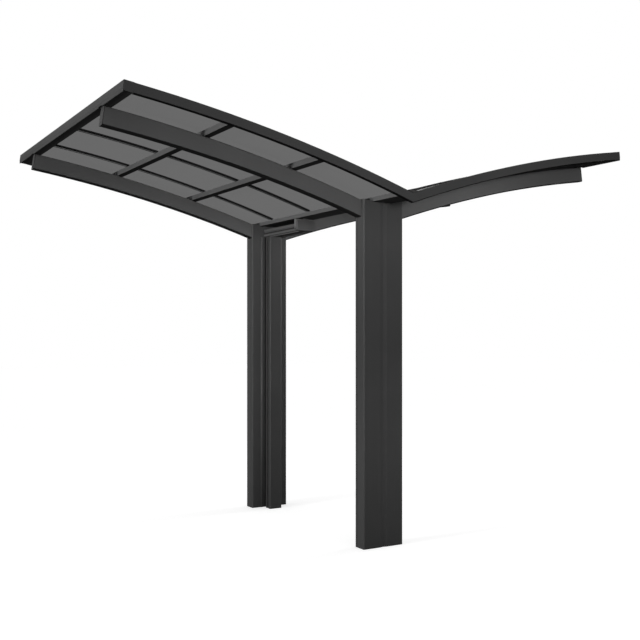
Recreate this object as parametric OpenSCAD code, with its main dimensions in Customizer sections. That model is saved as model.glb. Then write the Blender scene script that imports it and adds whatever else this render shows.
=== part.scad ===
// Double-wing bicycle carport: two posts on the centre line carry four curved
// cantilever arms, a framed roof of two shallow arched wings, a valley gutter
// and a drain duct. Millimetres. X runs across the wings, Y along the valley.

/* [Roof] */
// Width of the roof over both wings
roof_w = 3932; // [3000:10:5000]
// Length of the roof along the valley
roof_l = 2500; // [1800:10:3600]
// Height of the roof's top edge at the tips of the wings
tip_h = 2873; // [2600:1:3200]
// Height at which the two wing curves would meet over the valley
valley_h = 2405; // [2200:1:2500]
// Bending radius of the roof's top edge
wing_r = 10500; // [8000:100:20000]

/* [Posts] */
// Width of a post across the wings
post_w = 327; // [260:5:400]
// Depth of a post along the valley
post_d = 110; // [100:1:140]
// Wall of a post
post_wall = 6; // [4:0.5:10]
// Radius on the upright edges of a post
post_r = 10; // [6:1:16]
// Overhang of the roof beyond the outer face of a post
overhang = 346; // [250:1:600]
// Width of the shallow V down the outer face of a post
groove_w = 56; // [30:1:80]
// Depth of the shallow V down the outer face of a post
groove_d = 7; // [3:0.5:10]
// Distance from the post's inner face to the seam up both sides
seam_back = 24; // [16:1:40]
// Width of the seam up the sides of a post
post_seam_w = 5; // [3:0.5:8]
// Depth of the seam up the sides of a post
post_seam_d = 4; // [2:0.5:5]
// Thickness of the cap over a post
post_cap_t = 5; // [3:0.5:8]
// Distance from the gutter's side to the edge of the flat saddle under it
gutter_lip = 20; // [10:1:30]

/* [Arms] */
// Depth of the arms' upper side below the roof's top edge
arm_drop = 59; // [45:1:80]
// Depth of an arm, square to its curve
arm_h = 115; // [90:1:150]
// Thickness of an arm along the valley
arm_t = 62; // [45:1:75]
// Distance of the arms' middle inward from the post's middle
arm_shift = 12; // [0:1:15]
// Wall of an arm
arm_wall = 5; // [3:0.5:8]
// Radius on the long edges of an arm
arm_r = 8; // [6:1:14]
// Thickness of the plate that closes an arm
arm_cap_t = 5; // [3:0.5:10]
// Distance from the roof's tip back to the arm's end, along the roof's top
arm_back = 18; // [10:1:60]

/* [Roof frame] */
// Height of the curved fascia along the front and the back
fascia_h = 62; // [50:1:90]
// Thickness of the curved fascia
fascia_t = 30; // [20:1:70]
// Wall of the fascia and of the other roof profiles
frame_wall = 3; // [2:0.5:5]
// Radius on the long edges of the fascia
fascia_r = 5; // [4:0.5:10]
// Height of the straight profile along each tip
edge_h = 60; // [45:1:80]
// Width of the straight profile along each tip
edge_w = 62; // [45:1:80]
// Radius under the outer side of the tip profile
edge_r = 18; // [8:1:24]
// Thickness of the caps that close the tip profile
edge_cap_t = 4; // [2:0.5:8]
// Half width of the flat infill on top of the valley
infill_half = 45; // [30:1:70]

/* [Purlins and bars] */
// Width of a purlin
purlin_w = 40; // [30:1:60]
// Distance from the centre line to the inner purlins
purlin_in = 672; // [500:1:800]
// Distance from the centre line to the outer purlins
purlin_out = 1295; // [1000:5:1400]
// Width of a glazing bar
bar_w = 25; // [15:1:40]
// Height of a glazing bar, on top of the sheets
bar_h = 11; // [8:0.5:14]
// Number of glazing bars in a bay
bar_count = 3; // [1:1:5]

/* [Roof sheets] */
// Thickness of a roof sheet
sheet_t = 6; // [4:0.5:8]
// Depth of the sheets' upper side below the top of the fascia
sheet_drop = 12; // [8:0.5:16]
// Overlap of the inner sheets over the gutter's side
sheet_lap = 15; // [8:1:30]
// Width of the gap where two sheets meet over a purlin
sheet_gap = 4; // [2:0.5:8]
// Width of a clamping strip over a sheet joint
strip_w = 12; // [8:1:40]
// Thickness of a clamping strip
strip_t = 3; // [2:0.5:5]

/* [Gutter and drain] */
// Half width of the valley gutter
gutter_half = 85; // [70:1:120]
// Depth of the gutter's underside below the point where the wings meet
gutter_drop = 21; // [12:1:40]
// Gap between the gutter's sides and the sheets
gutter_gap = 1; // [0.5:0.5:3]
// Thickness of the gutter's sheet
gutter_wall = 4; // [2:0.5:6]
// Width of the drain duct
duct_w = 110; // [90:1:140]
// Depth of the upright drain duct, without its neck
duct_d = 84; // [70:1:120]
// Height of the level drain duct
run_d = 65; // [50:1:90]
// Gap between the gutter's underside and the level duct
run_gap = 30; // [20:1:50]
// Width of the neck that holds the upright duct off the post
neck_w = 40; // [30:1:60]
// Depth of the neck
neck_d = 30; // [10:1:40]
// Wall of the duct
duct_wall = 3; // [2:0.5:5]
// Radius on the duct's outer edges
duct_r = 8; // [4:1:14]
// Width of the seam groove along the duct's sides
seam_w = 20; // [4:1:24]
// Depth of the seam groove
seam_d = 8; // [1:0.5:10]
// Distance from the middle of the roof's length to the outlet box
outlet_y = 165; // [0:5:300]
// Length of the outlet box under the gutter
outlet_l = 32; // [28:1:60]
// Width of the outlet box
outlet_w = 154; // [120:1:165]
// Height of the collar between the outlet box and the gutter
collar_h = 14; // [6:1:24]
// Wall of the outlet box
outlet_wall = 4; // [3:0.5:6]
// Diameter of the hole from the gutter into the outlet box
outlet_hole = 20; // [12:1:22]

/* [Hidden] */

// Seat clearance between pieces that rest on each other
seat = 0.2;
// Reach of a cutting block past what it cuts
over = 60;
// Facets of a full turn of the wing's curve, and of a small rounding
arc_fn = 1440;
edge_fn = 48;
// Depth by which joined blocks run into each other
merge = 0.01;

half_w = roof_w / 2;
half_l = roof_l / 2;
chord = norm([half_w, tip_h - valley_h]);
arc_leg = sqrt(wing_r * wing_r - chord * chord / 4);
arc_x = half_w / 2 + (tip_h - valley_h) / chord * arc_leg;
arc_z = (valley_h + tip_h) / 2 - half_w / chord * arc_leg;

// Angle about the curve's centre of the top edge's point at x
function wing_ang(x) = acos((x - arc_x) / wing_r);
// Height, at x, of the curve that lies drop below the top edge
function wing_z(x, drop) = arc_z + sqrt(pow(wing_r - drop, 2) - pow(x - arc_x, 2));
// Slope angle of the top edge at x
function wing_tilt(x) = wing_ang(x) - 90;

post_out_y = half_l - overhang;
post_mid_y = post_out_y - post_d / 2;
post_in_y = post_out_y - post_d;
arm_mid_y = post_mid_y - arm_shift;
arm_mid = arm_drop + arm_h / 2;
arm_end = half_w - arm_back;
edge_in = half_w - edge_w * cos(wing_tilt(half_w));
frame_in_y = half_l - fascia_t;
glass_top = sheet_drop;
glass_low = sheet_drop + sheet_t;
carrier_top = glass_low + seat;
purlin_low = arm_drop - seat;
purlin_h = purlin_low - carrier_top;
gutter_z = valley_h - gutter_drop;
saddle_half = gutter_half - gutter_lip;
saddle_z = gutter_z - 2 * seat - post_cap_t;
post_side_z = wing_z(post_w / 2, arm_drop);
gutter_top = wing_z(gutter_half, carrier_top);
outlet_y1 = outlet_y + outlet_l;
outlet_mid_y = outlet_y + outlet_l / 2;
outlet_top = gutter_z - seat - collar_h;
run_low = gutter_z - run_gap - run_d;
outlet_h = outlet_top - run_low;
duct_mid_y = post_in_y - neck_d - duct_d / 2;
duct_hole_w = duct_w - 2 * (duct_wall + seam_d);

// Rectangle with rounded corners, centred
module rounded(w, h, r) {
    square([w - 2 * r, h], center = true);
    square([w, h - 2 * r], center = true);
    for (sx = [-1, 1])
        for (sy = [-1, 1])
            translate([sx * (w / 2 - r), sy * (h / 2 - r)])
                circle(r, $fn = edge_fn);
}

// Hollow rectangle with rounded corners, centred
module rounded_tube(w, h, r, wall) {
    difference() {
        rounded(w, h, r);
        rounded(w - 2 * wall, h - 2 * wall, max(r - wall, 1));
    }
}

// Sweeps a section, drawn as [drop below the top edge, y], along the right wing
module bend(x0, x1) {
    translate([arc_x, 0, arc_z])
        rotate([-90, 0, 0])
            rotate([0, 0, -wing_ang(x0)])
                rotate_extrude(angle = wing_ang(x0) - wing_ang(x1), $fn = arc_fn)
                    translate([wing_r, 0])
                        mirror([1, 0])
                            children();
}

// Runs a section, drawn as [along the wing, height above the top edge], along Y
module run_along(x, y0, y1) {
    translate([x, y1, wing_z(x, 0)])
        rotate([0, -wing_tilt(x), 0])
            rotate([90, 0, 0])
                linear_extrude(y1 - y0)
                    children();
}

// Cuts away what lies nearer the centre plane than x
module beyond(x) {
    difference() {
        children();
        translate([x - 2 * over, -half_l - over, 0])
            cube([2 * over, roof_l + 2 * over, tip_h + over]);
    }
}

// Places a piece of the right wing on the left one too
module on_side(side) {
    if (side == "left") mirror([1, 0, 0]) children();
    else children();
}

// Places a piece made for the rear end at the front one too
module at_end(end) {
    if (end == "front") mirror([0, 1, 0]) children();
    else children();
}

// Post section: a rounded tube with a shallow V down its outer face
module post_section(inset) {
    w = post_w - 2 * inset;
    d = post_d - 2 * inset;
    difference() {
        rounded(w, d, max(post_r - inset, 1));
        translate([0, d / 2])
            polygon([[-groove_w / 2, merge], [groove_w / 2, merge], [0, -groove_d]]);
        for (side = [-1, 1])
            translate([side * w / 2, seam_back + post_seam_w / 2 - post_d / 2])
                square([2 * post_seam_d, post_seam_w], center = true);
    }
}

// Outline of a post from the side on which the arms start: a V with a flat saddle
module post_head(drop) {
    s = post_w / 2;
    polygon([
        [-s, 0], [s, 0], [s, post_side_z - drop], [saddle_half, saddle_z - drop],
        [-saddle_half, saddle_z - drop], [-s, post_side_z - drop]
    ]);
}

module head_block(drop) {
    translate([0, post_out_y + over, 0])
        rotate([90, 0, 0])
            linear_extrude(post_d + 2 * over)
                post_head(drop);
}

module post_piece(end) {
    color([0.20, 0.21, 0.22])
        at_end(end)
            intersection() {
                translate([0, post_mid_y, 0])
                    linear_extrude(tip_h)
                        difference() {
                            post_section(0);
                            post_section(post_wall);
                        }
                head_block(post_cap_t);
            }
}

module post_cap_piece(end) {
    color([0.20, 0.21, 0.22])
        at_end(end) {
            difference() {
                intersection() {
                    translate([0, post_mid_y, 0])
                        linear_extrude(tip_h)
                            post_section(0);
                    head_block(0);
                }
                head_block(post_cap_t - seat);
            }
            translate([-saddle_half, post_in_y + post_r, saddle_z])
                cube([2 * saddle_half, post_d - 2 * post_r, gutter_z - seat - saddle_z]);
        }
}

module arm_piece(end, side) {
    color([0.22, 0.23, 0.24])
        at_end(end)
            on_side(side)
                beyond(post_w / 2 + seat)
                    bend(post_w / 2 - over, arm_end - arm_cap_t)
                        translate([arm_mid, arm_mid_y])
                            rounded_tube(arm_h, arm_t, arm_r, arm_wall);
}

module arm_cap_piece(end, side) {
    color([0.30, 0.31, 0.32])
        at_end(end)
            on_side(side)
                bend(arm_end - arm_cap_t + seat / 2, arm_end)
                    translate([arm_mid, arm_mid_y])
                        rounded(arm_h, arm_t, arm_r);
}

module fascia_piece(end, side) {
    color([0.22, 0.23, 0.24])
        at_end(end)
            on_side(side)
                beyond(seat / 2)
                    bend(-over, edge_in - seat)
                        translate([fascia_h / 2, half_l - fascia_t / 2])
                            rounded_tube(fascia_h, fascia_t, fascia_r, frame_wall);
}

// Wedge that fills the notch over the meeting fascias
module infill_piece(end) {
    top = wing_z(infill_half, 0);
    color([0.22, 0.23, 0.24])
        at_end(end)
            translate([0, half_l, 0])
                rotate([90, 0, 0])
                    linear_extrude(fascia_t)
                        polygon([
                            [-infill_half, top + seat],
                            [0, wing_z(0, 0) + seat],
                            [infill_half, top + seat]
                        ]);
}

// Section of the tip profile: square inside, rounded under the outer side
module edge_section(inset) {
    w = edge_w - inset;
    low = inset - edge_h;
    r = edge_r - inset;
    difference() {
        translate([inset, low])
            square([w - inset, edge_h - 2 * inset]);
        translate([w - r, low])
            square([r + over, r]);
    }
    translate([w - r, low + r])
        intersection() {
            circle(r, $fn = edge_fn);
            translate([-merge, -r])
                square([r + merge, r + merge]);
        }
}

module edge_piece(side) {
    color([0.24, 0.25, 0.26])
        on_side(side)
            run_along(edge_in, edge_cap_t + seat - half_l, half_l - edge_cap_t - seat)
                difference() {
                    edge_section(0);
                    edge_section(frame_wall);
                }
}

module edge_caps_piece(side) {
    color([0.22, 0.23, 0.24])
        on_side(side)
            for (y = [-half_l, half_l - edge_cap_t])
                run_along(edge_in, y, y + edge_cap_t)
                    edge_section(0);
}

module purlin_piece(side, x) {
    color([0.22, 0.23, 0.24])
        on_side(side)
            run_along(x, seat - frame_in_y, frame_in_y - seat)
                translate([0, -carrier_top - purlin_h / 2])
                    difference() {
                        square([purlin_w, purlin_h], center = true);
                        square([purlin_w - 2 * frame_wall, purlin_h - 2 * frame_wall], center = true);
                    }
}

// Bars on top of the sheets of one bay, evenly spaced along the valley
module bars_piece(side, x0, x1) {
    pitch = 2 * frame_in_y / (bar_count + 1);
    color([0.18, 0.19, 0.20])
        on_side(side)
            for (i = [1:bar_count])
                bend(x0 + seat, x1 - seat)
                    translate([glass_top - seat - bar_h, i * pitch - frame_in_y - bar_w / 2])
                        square([bar_h, bar_w]);
}

module sheet_piece(side, x0, x1) {
    color([0.42, 0.43, 0.44])
        on_side(side)
            bend(x0, x1)
                translate([glass_top, seat - frame_in_y])
                    square([sheet_t, 2 * (frame_in_y - seat)]);
}

module clamp_strips_piece(side) {
    color([0.22, 0.23, 0.24])
        on_side(side)
            for (x = [purlin_in, purlin_out])
                bend(x - strip_w / 2, x + strip_w / 2)
                    translate([glass_top - seat - strip_t, seat - frame_in_y])
                        square([strip_t, 2 * (frame_in_y - seat)]);
}

// Folded channel along the valley, closed at both ends
module gutter_piece() {
    len = 2 * (frame_in_y - seat);
    color([0.18, 0.19, 0.20])
        difference() {
            translate([-gutter_half, seat - frame_in_y, gutter_z])
                cube([2 * gutter_half, len, gutter_top - gutter_z - gutter_gap]);
            translate([gutter_wall - gutter_half, seat - frame_in_y + gutter_wall, gutter_z + gutter_wall])
                cube([2 * (gutter_half - gutter_wall), len - 2 * gutter_wall, gutter_top]);
            translate([0, outlet_mid_y, gutter_z - over])
                cylinder(d = outlet_hole, h = 3 * over, $fn = edge_fn);
        }
}

// Duct section, centred, with a seam groove in both sides
module duct_section(depth) {
    difference() {
        rounded(duct_w, depth, duct_r);
        square([duct_hole_w, depth - 2 * duct_wall], center = true);
        for (s = [-1, 1])
            translate([s * duct_w / 2, 0])
                square([2 * seam_d, seam_w], center = true);
    }
}

// Level duct from the outlet box to the post, open below to the upright duct
module run_piece() {
    color([0.20, 0.21, 0.22])
        difference() {
            translate([0, post_in_y - seat, run_low + run_d / 2])
                rotate([90, 0, 0])
                    linear_extrude(post_in_y - outlet_y1 - 2 * seat)
                        duct_section(run_d);
            translate([0, duct_mid_y, run_low])
                cube([duct_hole_w, duct_d - 2 * duct_wall, 3 * duct_wall], center = true);
        }
}

// Upright duct, held off the inner face of the rear post by a neck
module downpipe_piece() {
    color([0.20, 0.21, 0.22])
        linear_extrude(run_low - seat) {
            translate([0, duct_mid_y])
                duct_section(duct_d);
            translate([-neck_w / 2, post_in_y - neck_d - merge])
                square([neck_w, neck_d + merge - seat]);
        }
}

// Outlet box under the gutter, open to the level duct behind it
module outlet_piece() {
    color([0.24, 0.25, 0.26])
        difference() {
            translate([0, outlet_y1, 0])
                rotate([90, 0, 0])
                    linear_extrude(outlet_l) {
                        translate([0, outlet_top - outlet_h / 2])
                            rounded(outlet_w, outlet_h, duct_r);
                        translate([-neck_w / 2, outlet_top - duct_r])
                            square([neck_w, collar_h + duct_r]);
                    }
            translate([outlet_wall - outlet_w / 2, outlet_y + outlet_wall, run_low + outlet_wall])
                cube([outlet_w - 2 * outlet_wall, outlet_l, outlet_h - 2 * outlet_wall]);
            translate([0, outlet_mid_y, outlet_top - outlet_h / 2])
                cylinder(d = outlet_hole, h = over + outlet_h, $fn = edge_fn);
        }
}

module front_post() { post_piece("front"); }
module rear_post() { post_piece("rear"); }
module front_post_cap() { post_cap_piece("front"); }
module rear_post_cap() { post_cap_piece("rear"); }
module front_left_arm() { arm_piece("front", "left"); }
module front_right_arm() { arm_piece("front", "right"); }
module rear_left_arm() { arm_piece("rear", "left"); }
module rear_right_arm() { arm_piece("rear", "right"); }
module front_left_arm_cap() { arm_cap_piece("front", "left"); }
module front_right_arm_cap() { arm_cap_piece("front", "right"); }
module rear_left_arm_cap() { arm_cap_piece("rear", "left"); }
module rear_right_arm_cap() { arm_cap_piece("rear", "right"); }
module front_left_fascia() { fascia_piece("front", "left"); }
module front_right_fascia() { fascia_piece("front", "right"); }
module rear_left_fascia() { fascia_piece("rear", "left"); }
module rear_right_fascia() { fascia_piece("rear", "right"); }
module front_valley_infill() { infill_piece("front"); }
module rear_valley_infill() { infill_piece("rear"); }
module left_edge_profile() { edge_piece("left"); }
module right_edge_profile() { edge_piece("right"); }
module left_edge_caps() { edge_caps_piece("left"); }
module right_edge_caps() { edge_caps_piece("right"); }
module left_inner_purlin() { purlin_piece("left", purlin_in); }
module left_outer_purlin() { purlin_piece("left", purlin_out); }
module right_inner_purlin() { purlin_piece("right", purlin_in); }
module right_outer_purlin() { purlin_piece("right", purlin_out); }
module inner_bars(side) { bars_piece(side, gutter_half - sheet_lap, purlin_in - strip_w / 2); }
module middle_bars(side) { bars_piece(side, purlin_in + strip_w / 2, purlin_out - strip_w / 2); }
module outer_bars(side) { bars_piece(side, purlin_out + strip_w / 2, edge_in - seat); }
module left_inner_bars() { inner_bars("left"); }
module left_middle_bars() { middle_bars("left"); }
module left_outer_bars() { outer_bars("left"); }
module right_inner_bars() { inner_bars("right"); }
module right_middle_bars() { middle_bars("right"); }
module right_outer_bars() { outer_bars("right"); }
module inner_sheet(side) { sheet_piece(side, gutter_half - sheet_lap, purlin_in - sheet_gap / 2); }
module middle_sheet(side) { sheet_piece(side, purlin_in + sheet_gap / 2, purlin_out - sheet_gap / 2); }
module outer_sheet(side) { sheet_piece(side, purlin_out + sheet_gap / 2, edge_in - seat); }
module left_inner_sheet() { inner_sheet("left"); }
module left_middle_sheet() { middle_sheet("left"); }
module left_outer_sheet() { outer_sheet("left"); }
module right_inner_sheet() { inner_sheet("right"); }
module right_middle_sheet() { middle_sheet("right"); }
module right_outer_sheet() { outer_sheet("right"); }
module left_clamp_strips() { clamp_strips_piece("left"); }
module right_clamp_strips() { clamp_strips_piece("right"); }
module valley_gutter() { gutter_piece(); }
module drain_outlet() { outlet_piece(); }
module drain_run() { run_piece(); }
module downpipe() { downpipe_piece(); }

front_post();
rear_post();
front_post_cap();
rear_post_cap();
front_left_arm();
front_right_arm();
rear_left_arm();
rear_right_arm();
front_left_arm_cap();
front_right_arm_cap();
rear_left_arm_cap();
rear_right_arm_cap();
front_left_fascia();
front_right_fascia();
rear_left_fascia();
rear_right_fascia();
front_valley_infill();
rear_valley_infill();
left_edge_profile();
right_edge_profile();
left_edge_caps();
right_edge_caps();
left_inner_purlin();
left_outer_purlin();
right_inner_purlin();
right_outer_purlin();
left_inner_bars();
left_middle_bars();
left_outer_bars();
right_inner_bars();
right_middle_bars();
right_outer_bars();
left_inner_sheet();
left_middle_sheet();
left_outer_sheet();
right_inner_sheet();
right_middle_sheet();
right_outer_sheet();
left_clamp_strips();
right_clamp_strips();
valley_gutter();
drain_outlet();
drain_run();
downpipe();
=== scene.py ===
"""Finishes, small fittings, light and camera for the double-wing bicycle carport.

Metres. X runs across the wings, Y along the valley from the front post to the
rear one, Z up, with the ground at 0. A drop is measured square to a wing's
curve, down from its top edge.
"""
import math

import bpy
from mathutils import Matrix, Vector


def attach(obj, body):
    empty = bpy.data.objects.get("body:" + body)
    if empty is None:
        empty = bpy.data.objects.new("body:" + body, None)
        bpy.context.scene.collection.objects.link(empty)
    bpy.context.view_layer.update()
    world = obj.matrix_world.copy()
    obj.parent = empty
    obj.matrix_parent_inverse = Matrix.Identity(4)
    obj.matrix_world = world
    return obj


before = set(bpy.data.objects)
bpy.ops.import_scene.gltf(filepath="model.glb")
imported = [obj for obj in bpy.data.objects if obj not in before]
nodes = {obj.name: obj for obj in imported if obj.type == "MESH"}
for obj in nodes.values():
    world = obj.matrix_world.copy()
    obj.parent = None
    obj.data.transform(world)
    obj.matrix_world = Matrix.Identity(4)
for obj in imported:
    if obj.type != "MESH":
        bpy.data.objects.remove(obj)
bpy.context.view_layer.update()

# Camera: level, at eye height, in front of the shelter and to its left
EYE = Vector((-3.5776, -6.0529, 1.4952))
HEADING = math.radians(-30.773)
LENS = 50.88
SENSOR = 36.0
SHIFT_Y = 0.0169

# Light and floor
SKY_LIGHT = 0.6
FLOOR_SIZE = 60
FLOOR_BOUNCE = 0.5
FLOOR_SEEN = 0.6
FLOOR_GLOW = 0.642

# Clearance between a fitting and what carries it, and between a post's trim and the ground
GAP = 0.0004
OFF_GROUND = 0.0006

# Roof, and the arc of each wing's top edge
ROOF_HALF_W = 1.966
ROOF_HALF_L = 1.250
TIP_H = 2.873
VALLEY_H = 2.405
WING_R = 10.5
CHORD = math.hypot(ROOF_HALF_W, TIP_H - VALLEY_H)
LEG = math.sqrt(WING_R ** 2 - CHORD ** 2 / 4)
ARC_X = ROOF_HALF_W / 2 + (TIP_H - VALLEY_H) / CHORD * LEG
ARC_Z = (VALLEY_H + TIP_H) / 2 - ROOF_HALF_W / CHORD * LEG

# Roof frame: the fascias, the tip profile's inner side, and the purlins
FASCIA_T = 0.030
FASCIA_IN_Y = ROOF_HALF_L - FASCIA_T
EDGE_IN = 1.9055
PURLINS = (0.672, 1.295)
PURLIN_HALF = 0.020

# Sheets, with the clamping strips and glazing bars on top of them
SHEET_T = 0.006
SHEET_TOP = 0.012
SHEET_LOW = SHEET_TOP + SHEET_T
STRIP_T = 0.003
STRIP_HALF = 0.006
STRIP_TOP = SHEET_TOP - STRIP_T
BAR_H = 0.011
BAR_TOP = SHEET_TOP - BAR_H
BAR_YS = (-FASCIA_IN_Y / 2, 0.0, FASCIA_IN_Y / 2)

# Posts, and the seams up their sides
OVERHANG = 0.346
POST_W = 0.327
POST_D = 0.110
POST_IN_Y = ROOF_HALF_L - OVERHANG - POST_D
SEAM_W = 0.005
SEAM_DEPTH = 0.004
SEAM_BACK = 0.024
SEAM_Y = POST_IN_Y + SEAM_BACK + SEAM_W / 2
SEAM_TOP = 2.396

# Arms
ARM_SHIFT = 0.012
ARM_BACK = 0.018
ARM_H = 0.115
ARM_Y = POST_IN_Y + POST_D / 2 - ARM_SHIFT
ARM_END = ROOF_HALF_W - ARM_BACK
ARM_TOP = 0.059
ARM_LOW = ARM_TOP + ARM_H

# Gutter, and the outlet box under it
GUTTER_HALF = 0.085
GUTTER_DROP = 0.021
GUTTER_WALL = 0.004
GUTTER_LOW = VALLEY_H - GUTTER_DROP
GUTTER_FLOOR = GUTTER_LOW + GUTTER_WALL
SHEET_LAP = 0.015
SHEET_START = GUTTER_HALF - SHEET_LAP
BOX_FRONT_Y = 0.165
BOX_L = 0.032
BOX_W = 0.154

# Level duct from the box to the rear post, and the upright one on the post
DUCT_DROP = 0.030
DUCT_H = 0.065
DUCT_HALF = 0.055
DUCT_GROOVE = 0.008
DUCT_TOP = GUTTER_LOW - DUCT_DROP
DUCT_LOW = DUCT_TOP - DUCT_H
DUCT_START_Y = BOX_FRONT_Y + BOX_L + GAP / 2
DOWNPIPE_D = 0.084
DOWNPIPE_NECK = 0.030
DOWNPIPE_Y = POST_IN_Y - DOWNPIPE_NECK - DOWNPIPE_D

# Screws
SCREW_R = 0.0042
SCREW_H = 0.0020

# Mirrors across and along the roof, and how softened edges are shaded
ACROSS = Matrix.Diagonal((-1, 1, 1, 1))
ALONG = Matrix.Diagonal((1, -1, 1, 1))
SMOOTH_ANGLE = math.radians(40)
RADIUS_STEPS = 2


def wing_angle(x):
    """Angle about the curve's centre of the top edge's point at x."""
    return math.acos((x - ARC_X) / WING_R)


def on_wing(x, y, drop):
    """Where a point lies that is drop below the right wing's top edge."""
    angle = wing_angle(x)
    reach = WING_R - drop
    return Vector((ARC_X + reach * math.cos(angle), y, ARC_Z + reach * math.sin(angle)))


def stretches(start, half, end):
    """Spans of the right wing from start to end, less half a width either side of each purlin's middle."""
    inner, outer = PURLINS
    return (start, inner - half), (inner + half, outer - half), (outer + half, end)


# ---------------------------------------------------------------- modelling

def deselect():
    """Leave edit mode, with nothing selected."""
    if bpy.context.object and bpy.context.object.mode != "OBJECT":
        bpy.ops.object.mode_set(mode="OBJECT")
    bpy.ops.object.select_all(action="DESELECT")


def only(piece):
    """Make this piece the only one that the next operator acts on."""
    deselect()
    piece.select_set(True)
    bpy.context.view_layer.objects.active = piece


def edit_all():
    """Enter edit mode with the whole mesh selected."""
    bpy.ops.object.mode_set(mode="EDIT")
    bpy.ops.mesh.select_all(action="SELECT")


def edit_faces(piece, test):
    """Enter edit mode with the faces selected that pass the test."""
    bpy.ops.object.mode_set(mode="EDIT")
    bpy.ops.mesh.select_mode(type="FACE")
    bpy.ops.mesh.select_all(action="DESELECT")
    bpy.ops.object.mode_set(mode="OBJECT")
    for face in piece.data.polygons:
        face.select = test(face)
    bpy.ops.object.mode_set(mode="EDIT")


def settle(piece, name):
    """Name a piece and put its place and turn into its mesh."""
    only(piece)
    bpy.ops.object.transform_apply(location=True, rotation=True, scale=True)
    piece.name = name
    piece.data.name = name
    return piece


def face_outwards(piece):
    """Merge a piece's doubled corners and turn its faces outwards."""
    only(piece)
    edit_all()
    bpy.ops.mesh.remove_doubles(threshold=0.00001)
    bpy.ops.mesh.normals_make_consistent(inside=False)
    bpy.ops.object.mode_set(mode="OBJECT")


def smoothed(piece):
    """Shade a piece smooth over its softened edges, and flat elsewhere."""
    only(piece)
    bpy.ops.object.shade_smooth_by_angle(angle=SMOOTH_ANGLE)
    return piece


def joined(pieces, name):
    """One named piece, made of several."""
    deselect()
    for piece in pieces:
        piece.select_set(True)
    bpy.context.view_layer.objects.active = pieces[0]
    bpy.ops.object.join()
    return settle(bpy.context.object, name)


def copy_at(model, place):
    """A copy of a piece with its own mesh, placed by a matrix."""
    twin = model.copy()
    twin.data = model.data.copy()
    twin.data.transform(place)
    bpy.context.scene.collection.objects.link(twin)
    return twin


def mirror_image(piece, mirror):
    """A piece's mirror image, with its faces turned outwards."""
    image = copy_at(piece, mirror)
    face_outwards(image)
    return image


def with_twins(pieces, mirror):
    """Pieces, followed by the mirror image of each."""
    return pieces + [mirror_image(piece, mirror) for piece in pieces]


def left_twin(piece):
    """The left wing's piece for one of the right wing."""
    image = mirror_image(piece, ACROSS)
    image.name = piece.name.replace("right", "left")
    image.data.name = image.name
    return image


def square_bar(name, low, high, rim):
    """A straight bar between two corners, its edges softened by rim."""
    low, high = Vector(low), Vector(high)
    deselect()
    bpy.ops.mesh.primitive_cube_add(size=1, location=(low + high) / 2)
    bar = bpy.context.object
    bar.scale = high - low
    settle(bar, name)
    edit_all()
    bpy.ops.mesh.bevel(offset=rim, segments=RADIUS_STEPS, affect="EDGES")
    bpy.ops.object.mode_set(mode="OBJECT")
    return smoothed(bar)


def bent_strip(name, x0, x1, y0, y1, drop0, drop1):
    """A strip of square section that follows the right wing's curve from x0 to x1."""
    step = 0.04
    start = wing_angle(x0)
    turn = start - wing_angle(x1)
    deselect()
    bpy.ops.mesh.primitive_plane_add(size=1, location=on_wing(x0, (y0 + y1) / 2, (drop0 + drop1) / 2))
    strip = bpy.context.object
    strip.scale = (drop1 - drop0, y1 - y0, 1)
    strip.rotation_euler = (0, -start, 0)
    settle(strip, name)
    edit_all()
    bpy.ops.mesh.delete(type="ONLY_FACE")
    bpy.ops.mesh.select_mode(type="EDGE")
    bpy.ops.mesh.select_all(action="SELECT")
    steps = max(2, int((x1 - x0) / step))
    bpy.ops.mesh.spin(steps=steps, angle=-turn, center=(ARC_X, 0, ARC_Z), axis=(0, 1, 0))
    bpy.ops.mesh.select_all(action="SELECT")
    bpy.ops.mesh.fill_holes(sides=4)
    bpy.ops.object.mode_set(mode="OBJECT")
    face_outwards(strip)
    return strip


# ---------------------------------------------------------------- posts and drain

def seam_shade_cords():
    """Black rubber cords in the upright seams of both posts, which stand in for the shade in them: painted
    shade.
    """
    side, half = POST_W / 2, (SEAM_W - GAP) / 2
    low = (side - SEAM_DEPTH + GAP, SEAM_Y - half, OFF_GROUND)
    high = (side - GAP, SEAM_Y + half, SEAM_TOP)
    cord = square_bar("cord", low, high, rim=0.0005)
    return joined(with_twins(with_twins([cord], ACROSS), ALONG), "post_seam_shade_cords")


def post_rails():
    """Slim upright rails on the rear post's inner face, either side of the duct."""
    inner, outer, proud, clear = 0.070, 0.085, 0.009, 0.001
    low = (inner, POST_IN_Y - proud, OFF_GROUND)
    high = (outer, POST_IN_Y - GAP / 2, DUCT_LOW - clear)
    rail = square_bar("rail", low, high, rim=0.0015)
    return joined(with_twins([rail], ACROSS), "post_rails")


def duct_groove_shade_strips():
    """Black rubber strips in the grooves of the level duct, which stand in for the shade inside them:
    painted shade.
    """
    middle = (DUCT_LOW + DUCT_TOP) / 2
    below, above, clear = 0.010, 0.003, 0.001
    low = (DUCT_HALF - DUCT_GROOVE + GAP, DUCT_START_Y + GAP, middle - below + GAP / 2)
    high = (DUCT_HALF - 2 * GAP, POST_IN_Y - clear, middle + above)
    strip = square_bar("strip", low, high, rim=0.0008)
    return joined(with_twins([strip], ACROSS), "duct_groove_shade_strips")


def duct_lips():
    """Turned-down edges along the level duct's underside."""
    thick, deep, clear = 0.003, 0.008, 0.001
    outer = DUCT_HALF - clear / 2
    low = (outer - thick, DUCT_START_Y + 2 * clear, DUCT_LOW - deep)
    high = (outer, DOWNPIPE_Y - clear, DUCT_LOW - GAP / 2)
    lip = square_bar("lip", low, high, rim=0.0008)
    return joined(with_twins([lip], ACROSS), "duct_lips")


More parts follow.
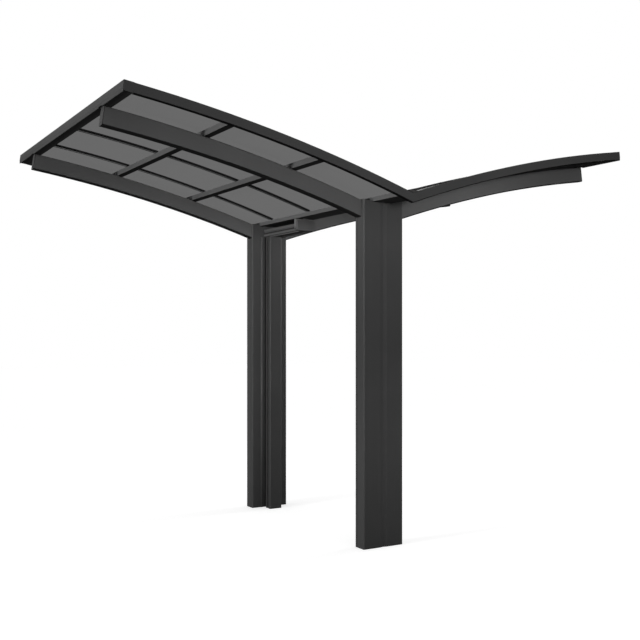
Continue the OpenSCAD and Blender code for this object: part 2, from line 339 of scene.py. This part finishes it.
def duct_holder():
    """A bracket that hangs the duct's end from the gutter, beside the outlet box."""
    length, short_by = 0.030, 0.013
    y0, y1 = DUCT_START_Y + GAP, DUCT_START_Y + length
    foot, bridge, top = DUCT_LOW + short_by, DUCT_TOP + GAP, GUTTER_LOW - GAP
    inner = DUCT_HALF + GAP
    deselect()
    bpy.ops.mesh.primitive_cube_add(size=1, location=(0, (y0 + y1) / 2, (bridge + top) / 2))
    holder = bpy.context.object
    holder.scale = (BOX_W, y1 - y0, top - bridge)
    settle(holder, "duct_holder")
    for x in (-inner, inner):
        edit_all()
        bpy.ops.mesh.bisect(plane_co=(x, 0, 0), plane_no=(1, 0, 0))
    edit_faces(holder, lambda face: face.normal.z < -0.9 and abs(face.center.x) > inner)
    bpy.ops.mesh.extrude_region_move(TRANSFORM_OT_translate={"value": (0, 0, foot - bridge)})
    bpy.ops.object.mode_set(mode="OBJECT")
    face_outwards(holder)
    rim = holder.modifiers.new("rim", "BEVEL")
    rim.width = 0.0015
    rim.segments = RADIUS_STEPS
    rim.limit_method = "ANGLE"
    bpy.ops.object.modifier_apply(modifier="rim")
    return smoothed(holder)


def leaf_guard():
    """A wire dome over the gutter's outlet."""
    radius, cut_height, flattened, wire = 0.026, 0.0005, 0.8, 0.002
    deselect()
    bpy.ops.mesh.primitive_uv_sphere_add(segments=14, ring_count=10, radius=radius, location=(0, 0, 0))
    guard = bpy.context.object
    edit_all()
    bpy.ops.mesh.bisect(plane_co=(0, 0, cut_height), plane_no=(0, 0, 1), clear_inner=True)
    bpy.ops.mesh.select_all(action="SELECT")
    bpy.ops.transform.resize(value=(1, 1, flattened))
    bpy.ops.object.mode_set(mode="OBJECT")
    wires = guard.modifiers.new("wires", "WIREFRAME")
    wires.thickness = wire
    wires.use_boundary = True
    only(guard)
    bpy.ops.object.modifier_apply(modifier="wires")
    guard.location = (0, BOX_FRONT_Y + BOX_L / 2, GUTTER_FLOOR + 3 * GAP)
    return settle(guard, "leaf_guard")


# ---------------------------------------------------------------- right wing

def sheet_seals():
    """Rubber seals under the sheets' rims, along the fascias and the tip profile."""
    width, depth = 0.009, 0.007
    top, low = SHEET_LOW + GAP, SHEET_LOW + depth
    side, end = FASCIA_IN_Y - GAP, EDGE_IN - GAP
    strips = []
    for x0, x1 in stretches(GUTTER_HALF + GAP, PURLIN_HALF + GAP, end - width - GAP):
        for y in (-side, side - width):
            strips.append(bent_strip("seal", x0, x1, y, y + width, top, low))
    strips.append(bent_strip("seal", end - width, end, -side, side, top, low))
    return joined(strips, "right_sheet_seals")


def bar_beads():
    """Slim rubber beads under the sheets, below each glazing bar."""
    half, depth, clear = 0.0045, 0.003, 0.010
    top, low = SHEET_LOW + GAP, SHEET_LOW + depth
    beads = []
    for y in BAR_YS:
        for x0, x1 in stretches(GUTTER_HALF + GAP, PURLIN_HALF + GAP, EDGE_IN - clear):
            beads.append(bent_strip("bead", x0, x1, y - half, y + half, top, low))
    return joined(beads, "right_bar_beads")


def edge_lips():
    """The drip edge along the right tip profile, shallower where the arms' ends stand below it."""
    thick, rim, clear = 0.0030, 0.0006, 0.0322
    inner = ROOF_HALF_W + 0.0028
    outer = inner + thick
    top, shallow_top = TIP_H - 0.0460, TIP_H - 0.0463
    shallow, deep = TIP_H - 0.0603, TIP_H - 0.0665
    end = ROOF_HALF_L - GAP / 2
    spans = ((-end, -ARM_Y - clear), (clear - ARM_Y, ARM_Y - clear), (ARM_Y + clear, end))
    lips = [square_bar("lip", (inner, y0, deep), (outer, y1, top), rim) for y0, y1 in spans]
    low = (inner + GAP / 2, GAP - end, shallow)
    high = (outer - GAP / 2, end - GAP, shallow_top)
    lips.append(square_bar("lip", low, high, rim))
    return joined(lips, "right_edge_lips")


# ---------------------------------------------------------------- screws

def model_screw():
    """A round-headed screw with a socket, standing on the plane z = 0."""
    shoulder, socket_rim, socket_depth = 0.45 * SCREW_H, 0.34 * SCREW_R, 0.55 * SCREW_H
    middle = (0, 0, SCREW_H / 2)
    deselect()
    bpy.ops.mesh.primitive_cylinder_add(vertices=18, radius=SCREW_R, depth=SCREW_H, location=middle)
    screw = settle(bpy.context.object, "screw")
    edit_faces(screw, lambda face: face.normal.z > 0.9)
    bpy.ops.mesh.bevel(offset=shoulder, segments=3, affect="EDGES")
    edit_faces(screw, lambda face: face.normal.z > 0.99 and face.center.z > 0.99 * SCREW_H)
    bpy.ops.mesh.inset(thickness=socket_rim)
    bpy.ops.mesh.extrude_region_move(TRANSFORM_OT_translate={"value": (0, 0, -socket_depth)})
    return smoothed(screw)


def screw_row(model, spots, name):
    """Screws standing on the right wing at each (x, y, drop)."""
    screws = []
    for x, y, drop in spots:
        lean = math.pi / 2 - wing_angle(x)
        place = Matrix.Translation(on_wing(x, y, drop)) @ Matrix.Rotation(lean, 4, "Y")
        screws.append(copy_at(model, place))
    return joined(screws, name)


def strip_screws(model):
    """A row of screws down each clamping strip."""
    count, from_end = 8, 0.05
    end = FASCIA_IN_Y - from_end
    pitch = 2 * end / (count - 1)
    spots = [(x, i * pitch - end, STRIP_TOP - GAP) for x in PURLINS for i in range(count)]
    return screw_row(model, spots, "right_strip_screws")


def bar_screws(model):
    """Three screws in each length of glazing bar."""
    spots = []
    for y in BAR_YS:
        for x0, x1 in stretches(SHEET_START, STRIP_HALF, EDGE_IN):
            for share in (0.08, 0.5, 0.92):
                spots.append((x0 + share * (x1 - x0), y, BAR_TOP - GAP))
    return screw_row(model, spots, "right_bar_screws")


def arm_end_screws(model):
    """Two screws in the plate that closes each right arm."""
    inset = 0.022
    outward = Matrix.Rotation(math.pi - wing_angle(ARM_END), 4, "Y")
    screws = []
    for y in (-ARM_Y, ARM_Y):
        for drop in (ARM_TOP + inset, ARM_LOW - inset):
            screws.append(copy_at(model, Matrix.Translation(on_wing(ARM_END, y, drop)) @ outward))
    return joined(screws, "right_arm_end_screws")


# ---------------------------------------------------------------- shader helpers

def feed(tree, given, socket):
    """Give a socket its value, or link it where another socket is given."""
    if isinstance(given, bpy.types.NodeSocket):
        tree.links.new(given, socket)
    else:
        socket.default_value = given


def noise(tree, place, scale, detail, roughness=0.5):
    """A cloudy value between 0 and 1."""
    node = tree.nodes.new("ShaderNodeTexNoise")
    feed(tree, place, node.inputs["Vector"])
    feed(tree, scale, node.inputs["Scale"])
    feed(tree, detail, node.inputs["Detail"])
    feed(tree, roughness, node.inputs["Roughness"])
    return node.outputs["Fac"]


def eased(tree, value, span, results):
    """Ease a value from the first result to the second as it crosses the span."""
    node = tree.nodes.new("ShaderNodeMapRange")
    node.interpolation_type = "SMOOTHSTEP"
    feed(tree, value, node.inputs["Value"])
    for label, given in zip(("From Min", "From Max", "To Min", "To Max"), (*span, *results)):
        feed(tree, given, node.inputs[label])
    return node.outputs["Result"]


def maths(tree, operation, first, second):
    """What an operation makes of two values or sockets."""
    node = tree.nodes.new("ShaderNodeMath")
    node.operation = operation
    feed(tree, first, node.inputs[0])
    feed(tree, second, node.inputs[1])
    return node.outputs[0]


def axes_of(tree, vector):
    """The three parts of a vector, by the names X, Y and Z."""
    node = tree.nodes.new("ShaderNodeSeparateXYZ")
    feed(tree, vector, node.inputs[0])
    return node.outputs


def own_place(tree):
    """A position in the piece's own coordinates."""
    return tree.nodes.new("ShaderNodeTexCoord").outputs["Object"]


def stretched(tree, place, scale):
    """A position drawn out along one direction, for runs."""
    node = tree.nodes.new("ShaderNodeMapping")
    feed(tree, place, node.inputs["Vector"])
    feed(tree, scale, node.inputs["Scale"])
    return node.outputs["Vector"]


def colour_mix(tree, mode, share, below, above):
    """Mix two colours; each of share, below and above is a value or a socket."""
    node = tree.nodes.new("ShaderNodeMix")
    node.data_type = "RGBA"
    node.blend_type = mode
    given = {"Factor_Float": share, "A_Color": below, "B_Color": above}
    for socket in node.inputs:
        if socket.identifier in given:
            feed(tree, given[socket.identifier], socket)
    return next(socket for socket in node.outputs if socket.identifier == "Result_Color")


def bumped(tree, height, strength, distance):
    """Normals that follow a small relief."""
    node = tree.nodes.new("ShaderNodeBump")
    feed(tree, strength, node.inputs["Strength"])
    feed(tree, distance, node.inputs["Distance"])
    feed(tree, height, node.inputs["Height"])
    return node.outputs["Normal"]


def grey(level):
    """A plain grey colour of that level."""
    return (level, level, level, 1.0)


# ---------------------------------------------------------------- shared effects

def effect_group(name, labels):
    """A new effect for several finishes: it reads a position and puts out masks."""
    group = bpy.data.node_groups.new(name, "ShaderNodeTree")
    group.interface.new_socket(name="Place", in_out="INPUT", socket_type="NodeSocketVector")
    for label in labels:
        group.interface.new_socket(name=label, in_out="OUTPUT", socket_type="NodeSocketFloat")
    place = group.nodes.new("NodeGroupInput").outputs["Place"]
    return group, place, group.nodes.new("NodeGroupOutput").inputs


def coat_grain_group():
    """Powder coat: a fine orange peel and a faint unevenness of tone."""
    group, place, result = effect_group("powder_grain", ("Height", "Tone"))
    peel = noise(group, place, scale=620, detail=2)
    pores = noise(group, place, scale=1900, detail=1)
    feed(group, maths(group, "ADD", peel, pores), result["Height"])
    clouds = eased(group, noise(group, place, scale=2.6, detail=3), (0.3, 0.7), (0.955, 1.045))
    specks = eased(group, noise(group, place, scale=850, detail=1), (0.35, 0.65), (0.97, 1.03))
    feed(group, maths(group, "MULTIPLY", clouds, specks), result["Tone"])
    return group


def weather_group():
    """Where dust settles, where rain has run, and which faces don't look down: the mask by which the
    finishes paint shade on the faces that do.
    """
    group, place, result = effect_group("weather", ("Dust", "Runs", "Not_Facing_Down"))
    facing = axes_of(group, group.nodes.new("ShaderNodeNewGeometry").outputs["Normal"])["Z"]
    upward = eased(group, facing, (0.35, 0.95), (0.0, 1.0))
    clouds = noise(group, place, scale=7.0, detail=5, roughness=0.62)
    patches = eased(group, clouds, (0.38, 0.72), (0.25, 1.0))
    feed(group, maths(group, "MULTIPLY", upward, patches), result["Dust"])
    drawn_down = stretched(group, place, (1.0, 1.0, 0.035))
    lines = noise(group, drawn_down, scale=30.0, detail=3, roughness=0.55)
    feed(group, eased(group, lines, (0.52, 0.75), (0.0, 1.0)), result["Runs"])
    # Faces that don't look down get 1 and those that do get 0: the mask for painted shade and for the gloss
    feed(group, eased(group, facing, (-0.35, 0.0), (0.0, 1.0)), result["Not_Facing_Down"])
    return group


def effect(tree, group):
    """Put a shared effect on a material, and return what it puts out."""
    node = tree.nodes.new("ShaderNodeGroup")
    node.node_tree = group
    feed(tree, own_place(tree), node.inputs["Place"])
    return node.outputs


# ---------------------------------------------------------------- finishes

def new_material(name):
    """A new material, with its node tree and its shader's sockets."""
    material = bpy.data.materials.new(name)
    material.use_nodes = True
    tree = material.node_tree
    return material, tree, tree.nodes["Principled BSDF"].inputs


def settle_dust(tree, shader, dust, colour, share, dust_colour, roughness):
    """Colour a finish, paler and rougher where dust lies; roughness is that of clean and of dusty parts."""
    settled = maths(tree, "MULTIPLY", dust, share)
    feed(tree, colour_mix(tree, "MIX", settled, colour, dust_colour), shader["Base Color"])
    feed(tree, eased(tree, dust, (0.0, 1.0), roughness), shader["Roughness"])


def add_gloss(tree, shader, faces_not_down, weight, roughness):
    """A clear gloss on the faces that don't look down, none on those that do, and no plain specular, so
    that undersides stay dark: painted shade.
    """
    feed(tree, maths(tree, "MULTIPLY", faces_not_down, weight), shader["Coat Weight"])
    feed(tree, roughness, shader["Coat Roughness"])
    feed(tree, 0.0, shader["Specular IOR Level"])


def painted_light_by_height(tree):
    """Painted light on a post: a shade lighter towards its foot and its head than between them."""
    height = axes_of(tree, own_place(tree))["Z"]
    towards_foot = eased(tree, height, (0.70, 1.45), (1.34, 1.00))
    towards_head = eased(tree, height, (1.55, 2.20), (0.88, 1.20))
    return maths(tree, "MULTIPLY", towards_foot, towards_head)


def powder_coat(name, level, roughness=0.5, sheen=0.14, under=0.15, by_height=False):
    """Anthracite powder coat on aluminium: grained, faintly uneven, dusty where it faces up, and with
    painted shade on the faces that look down.

    Level is how pale it is, under is the share of that left on faces that look down as painted shade,
    and by_height is set where painted light also makes a post lighter towards its foot and its head.
    """
    run_share, run_level = 0.10, 0.72
    dust_colour = (0.24, 0.225, 0.20, 1)
    rough = (roughness, roughness + 0.3)
    material, tree, shader = new_material(name)
    grain = effect(tree, GRAIN)
    weather = effect(tree, WEATHER)
    toned = colour_mix(tree, "MULTIPLY", 1.0, grey(level), grain["Tone"])
    # Painted light: a post lighter towards its foot and its head
    if by_height:
        toned = colour_mix(tree, "MULTIPLY", 1.0, toned, painted_light_by_height(tree))
    runs = maths(tree, "MULTIPLY", weather["Runs"], run_share)
    washed = colour_mix(tree, "MIX", runs, toned, grey(level * run_level))
    # Painted shade: faces that look down are darkened to under times the level
    shaded = colour_mix(tree, "MIX", weather["Not_Facing_Down"], grey(level * under), washed)
    settle_dust(tree, shader, weather["Dust"], shaded, 0.10, dust_colour, rough)
    add_gloss(tree, shader, weather["Not_Facing_Down"], weight=sheen, roughness=0.38)
    feed(tree, bumped(tree, grain["Height"], strength=0.25, distance=0.0002), shader["Normal"])
    return material


def smoked_sheet():
    """Grey see-through roof sheet: fine dust on its upper side, and a clean underside without gloss, which
    keeps it dark as painted shade.
    """
    dust_colour = (0.20, 0.195, 0.18, 1)
    material, tree, shader = new_material("smoked_sheet")
    grain = effect(tree, GRAIN)
    weather = effect(tree, WEATHER)
    toned = colour_mix(tree, "MULTIPLY", 1.0, grey(0.016), grain["Tone"])
    settle_dust(tree, shader, weather["Dust"], toned, 0.12, dust_colour, roughness=(0.16, 0.42))
    add_gloss(tree, shader, weather["Not_Facing_Down"], weight=0.6, roughness=0.12)
    feed(tree, 0.632, shader["Alpha"])
    return material


def black_rubber():
    """Matt black rubber with a coarse skin."""
    material, tree, shader = new_material("black_rubber")
    grain = effect(tree, GRAIN)
    feed(tree, colour_mix(tree, "MULTIPLY", 1.0, grey(0.012), grain["Tone"]), shader["Base Color"])
    feed(tree, 0.8, shader["Roughness"])
    feed(tree, 0.1, shader["Specular IOR Level"])
    feed(tree, bumped(tree, grain["Height"], strength=0.4, distance=0.0004), shader["Normal"])
    return material


def screw_steel():
    """Dull stainless steel."""
    material, tree, shader = new_material("screw_steel")
    grain = effect(tree, GRAIN)
    feed(tree, colour_mix(tree, "MULTIPLY", 1.0, grey(0.42), grain["Tone"]), shader["Base Color"])
    feed(tree, 1.0, shader["Metallic"])
    feed(tree, 0.38, shader["Roughness"])
    feed(tree, bumped(tree, grain["Height"], strength=0.3, distance=0.0001), shader["Normal"])
    return material


# ---------------------------------------------------------------- set

def seen_ray(tree):
    """1 for what the camera, a gloss or a clear surface sees, else 0."""
    path = tree.nodes.new("ShaderNodeLightPath").outputs
    camera_or_gloss = maths(tree, "MAXIMUM", path["Is Camera Ray"], path["Is Glossy Ray"])
    return maths(tree, "MAXIMUM", camera_or_gloss, path["Is Transmission Ray"])


def split_by_sight(tree, lighting, seen, surface):
    """Use one shader where a ray lights the shelter, and the other where it is seen."""
    mix = tree.nodes.new("ShaderNodeMixShader")
    feed(tree, seen_ray(tree), mix.inputs["Fac"])
    feed(tree, lighting, mix.inputs[1])
    feed(tree, seen, mix.inputs[2])
    feed(tree, mix.outputs[0], surface)


def white_sky(tree, strength):
    """A plain white sky of that strength."""
    node = tree.nodes.new("ShaderNodeBackground")
    feed(tree, grey(1.0), node.inputs["Color"])
    feed(tree, strength, node.inputs["Strength"])
    return node.outputs[0]


def add_world():
    """White where it is seen, a softer white where it lights."""
    world = bpy.data.worlds.new("studio")
    bpy.context.scene.world = world
    world.use_nodes = True
    tree = world.node_tree
    tree.nodes.clear()
    surface = tree.nodes.new("ShaderNodeOutputWorld").inputs["Surface"]
    split_by_sight(tree, white_sky(tree, SKY_LIGHT), white_sky(tree, 1.0), surface)


def matt(tree, level):
    """A plain matt grey of that level."""
    node = tree.nodes.new("ShaderNodeBsdfDiffuse")
    feed(tree, grey(level), node.inputs["Color"])
    return node.outputs[0]


def floor_finish():
    """Where it is seen, a grey that glows up to white but still takes a shadow."""
    material = bpy.data.materials.new("floor")
    material.use_nodes = True
    tree = material.node_tree
    tree.nodes.clear()
    glow = tree.nodes.new("ShaderNodeEmission")
    feed(tree, FLOOR_GLOW, glow.inputs["Strength"])
    shown = tree.nodes.new("ShaderNodeAddShader")
    feed(tree, matt(tree, FLOOR_SEEN), shown.inputs[0])
    feed(tree, glow.outputs[0], shown.inputs[1])
    surface = tree.nodes.new("ShaderNodeOutputMaterial").inputs["Surface"]
    split_by_sight(tree, matt(tree, FLOOR_BOUNCE), shown.outputs[0], surface)
    return material


def add_floor():
    """A pale floor that shows the shelter's soft shadow."""
    deselect()
    bpy.ops.mesh.primitive_plane_add(size=FLOOR_SIZE)
    floor = bpy.context.object
    floor.name = "floor"
    floor.data.materials.append(floor_finish())


def add_panel(name, place, aim, width, height, power, spread):
    """A soft lamp that lights without being seen; a small spread keeps it to what it is aimed at."""
    data = bpy.data.lights.new(name, "AREA")
    data.shape = "RECTANGLE"
    data.size = width
    data.size_y = height
    data.energy = power
    data.spread = math.radians(spread)
    lamp = bpy.data.objects.new(name, data)
    lamp.location = place
    lamp.rotation_euler = (Vector(aim) - Vector(place)).to_track_quat("-Z", "Y").to_euler()
    lamp.visible_camera = False
    bpy.context.scene.collection.objects.link(lamp)


def add_camera():
    """A level camera in front of the shelter and to its left."""
    data = bpy.data.cameras.new("camera")
    data.sensor_width = SENSOR
    data.lens = LENS
    data.shift_y = SHIFT_Y
    camera = bpy.data.objects.new("camera", data)
    camera.location = EYE
    camera.rotation_euler = (math.radians(90), 0, HEADING)
    bpy.context.scene.collection.objects.link(camera)
    bpy.context.scene.camera = camera


def add_lamps():
    """One lamp to each side, one to each end, and a narrow one for the rear right arm."""
    side = {"width": 2.0, "height": 1.5, "spread": 50}
    end = {"width": 4.0, "height": 3.4, "spread": 16}
    narrow = {"width": 0.8, "height": 0.5, "spread": 5}
    add_panel("side_panel", (-14.0, -0.9, 2.6), (0, -0.9, 2.4), power=160, **side)
    add_panel("far_side_panel", (14.0, 0.9, 2.6), (0, 0.9, 2.4), power=120, **side)
    add_panel("front_panel", (-3.1, -13.0, 1.3), (0.15, 0, 1.95), power=36, **end)
    add_panel("back_panel", (3.1, 13.0, 1.3), (-0.15, 0, 1.95), power=36, **end)
    add_panel("bay_panel", (4.6, -12.4, 0.3), (0.5, 0.8, 2.3), power=1.4, **narrow)


add_camera()
add_world()
add_floor()
add_lamps()

# ---------------------------------------------------------------- the shelter's finishes

GRAIN = coat_grain_group()
WEATHER = weather_group()

# One anthracite powder coat throughout, its level set part by part: the differences between these levels
# are painted light and shade, such as the rear post painted lighter than the front one, the duct holder
# lighter still and the downpipe darker; under sets each one's painted shade below
post_coat = powder_coat("post_coat", 0.031, sheen=0.06, by_height=True)
rear_post_coat = powder_coat("rear_post_coat", 0.038, sheen=0.06)
arm_coat = powder_coat("arm_coat", 0.060)
fascia_coat = powder_coat("fascia_coat", 0.028)
edge_coat = powder_coat("edge_coat", 0.028, under=0.6)
purlin_coat = powder_coat("purlin_coat", 0.060)
duct_coat = powder_coat("duct_coat", 0.058, under=0.5)
downpipe_coat = powder_coat("downpipe_coat", 0.030)
bright_coat = powder_coat("bright_coat", 0.090)
bar_coat = powder_coat("bar_coat", 0.034, roughness=0.45)
gutter_coat = powder_coat("gutter_coat", 0.068, under=0.35)
sheet_finish = smoked_sheet()
rubber = black_rubber()
steel = screw_steel()

# The first word that a node's name holds decides its finish
FINISHES = (
    ("sheet", sheet_finish), ("bars", bar_coat), ("strips", bar_coat), ("gutter", gutter_coat),
    ("rear_post", rear_post_coat), ("post", post_coat), ("arm_cap", fascia_coat), ("arm", arm_coat),
    ("fascia", fascia_coat), ("infill", fascia_coat), ("edge_caps", fascia_coat), ("edge", edge_coat),
    ("purlin", purlin_coat), ("drain", duct_coat), ("downpipe", downpipe_coat),
)
for name, piece in nodes.items():
    piece.data.materials.clear()
    piece.data.materials.append(next(finish for word, finish in FINISHES if word in name))


# ---------------------------------------------------------------- the shelter's fittings

def fit(piece, material):
    """Give a new piece its finish and fix it to the shelter."""
    piece.data.materials.clear()
    piece.data.materials.append(material)
    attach(piece, "root")


def fit_both_wings(rows):
    """Fit each row's piece to the right wing, and its twin to the left one."""
    for piece, material, slot in rows:
        fit(piece, material)
        fit(left_twin(piece), material)


fit_both_wings((
    (sheet_seals(), rubber, "dark_profile"),
    (bar_beads(), rubber, "dark_profile"),
    (edge_lips(), edge_coat, "frame_coat"),
))

fit(seam_shade_cords(), rubber)
fit(duct_groove_shade_strips(), rubber)
fit(post_rails(), arm_coat)
fit(duct_lips(), duct_coat)
fit(duct_holder(), bright_coat)

screw = model_screw()
fit_both_wings((
    (strip_screws(screw), steel, "frame_coat"),
    (bar_screws(screw), steel, "frame_coat"),
    (arm_end_screws(screw), arm_coat, "frame_coat"),
))
bpy.data.objects.remove(screw, do_unlink=True)

fit(leaf_guard(), steel)

bpy.context.scene.view_settings.view_transform = "Standard"
